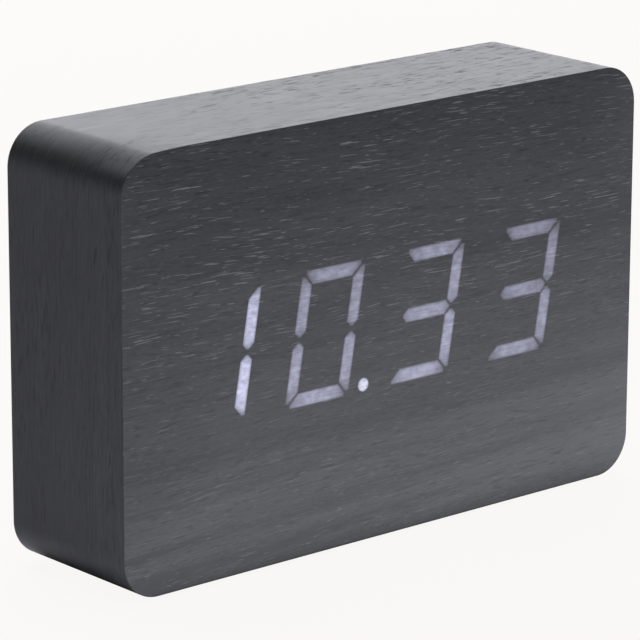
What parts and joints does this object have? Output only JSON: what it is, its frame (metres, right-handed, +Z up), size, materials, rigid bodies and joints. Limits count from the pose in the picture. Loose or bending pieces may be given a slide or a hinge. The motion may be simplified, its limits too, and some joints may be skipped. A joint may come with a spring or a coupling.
{
  "type": "digital alarm clock",
  "caption": "Digital alarm clock in a black-stained veneered wooden block, with lit slanted digits showing through the front veneer and a rear panel with buttons, switch and battery door.",
  "frame": {"origin": "centre of the clock's footprint, on the plane that its rubber feet stand on", "axes": "+X to the right seen from the front, +Y to the back, +Z up; the display faces -Y"},
  "size_m": [0.151, 0.0394, 0.099],
  "materials": {
    "stained_veneer": "black stained, open pored, satin",
    "fibre_board": "raw, sanded",
    "post_wood": "raw, sawn",
    "foot_rubber": "matt",
    "diffuser_white": "translucent, matt",
    "mask_white": "moulded, matt",
    "board_green": "lacquered",
    "lamp_white": "clear cast",
    "chip_black": "moulded, matt",
    "header_cream": "moulded",
    "cable_grey": "flexible, satin",
    "bright_steel": "nickel plated",
    "can_metal": "drawn, bright",
    "capacitor_blue": "shrunk sleeve",
    "bead_black": "dipped",
    "stem_white": "moulded",
    "panel_black": "fine spark texture",
    "button_black": "smooth, satin",
    "socket_black": "moulded",
    "cell_sleeve": "printed sleeve, plain",
    "lead_red": "flexible",
    "lead_black": "flexible"
  },
  "bodies": {
    "clock_case": {"front_veneer": "stained_veneer", "edge_veneer": "stained_veneer", "rear_veneer": "stained_veneer", "front_board": "fibre_board", "frame_ring": "fibre_board", "corner_posts": "post_wood", "rubber_feet": "foot_rubber", "diffuser_film": "diffuser_white", "segment_mask": "mask_white", "display_board": "board_green", "segment_lamps": "lamp_white", "display_driver_chip": "chip_black", "display_header": "header_cream", "display_screws": "bright_steel", "display_cable": "cable_grey", "main_header": "header_cream", "main_board": "board_green", "controller_chip": "chip_black", "crystal_can": "can_metal", "smoothing_capacitor": "capacitor_blue", "thermistor": "bead_black", "microphone": "can_metal", "buzzer": "chip_black", "push_switch_bases": "chip_black", "slide_switch_body": "bright_steel", "power_socket_shell": "bright_steel", "power_socket_tongue": "socket_black", "rear_panel": "panel_black", "panel_screws": "bright_steel", "main_board_screws": "bright_steel", "contact_plates": "bright_steel", "contact_springs": "bright_steel", "cell_1": "cell_sleeve", "cell_2": "cell_sleeve", "cell_3": "cell_sleeve", "cell_4": "cell_sleeve", "red_lead": "lead_red", "black_lead": "lead_black"},
    "set_key": {"set_button": "button_black", "set_switch_stem": "stem_white"},
    "up_key": {"up_button": "button_black", "up_switch_stem": "stem_white"},
    "down_key": {"down_button": "button_black", "down_switch_stem": "stem_white"},
    "switch_lever": {"slide_switch_lever": "stem_white"},
    "door": {"battery_door": "panel_black"}
  },
  "joints": [
    {"name": "set_press", "type": "slide", "parent": "clock_case", "child": "set_key", "axis": [0, -1, 0], "range_m": [0, 0.0005], "stiffness_N_per_m": 1000},
    {"name": "up_press", "type": "slide", "parent": "clock_case", "child": "up_key", "axis": [0, -1, 0], "range_m": [0, 0.0005], "stiffness_N_per_m": 1000},
    {"name": "down_press", "type": "slide", "parent": "clock_case", "child": "down_key", "axis": [0, -1, 0], "range_m": [0, 0.0005], "stiffness_N_per_m": 1000},
    {"name": "switch_slide", "type": "slide", "parent": "clock_case", "child": "switch_lever", "axis": [1, 0, 0], "range_m": [0, 0.0025]},
    {"name": "door_hinge", "type": "hinge", "parent": "clock_case", "child": "door", "pos_m": [-0.03255, 0.0174, 0.0279], "axis": [-1, 0, 0], "range_deg": [0, 80]}
  ]
}
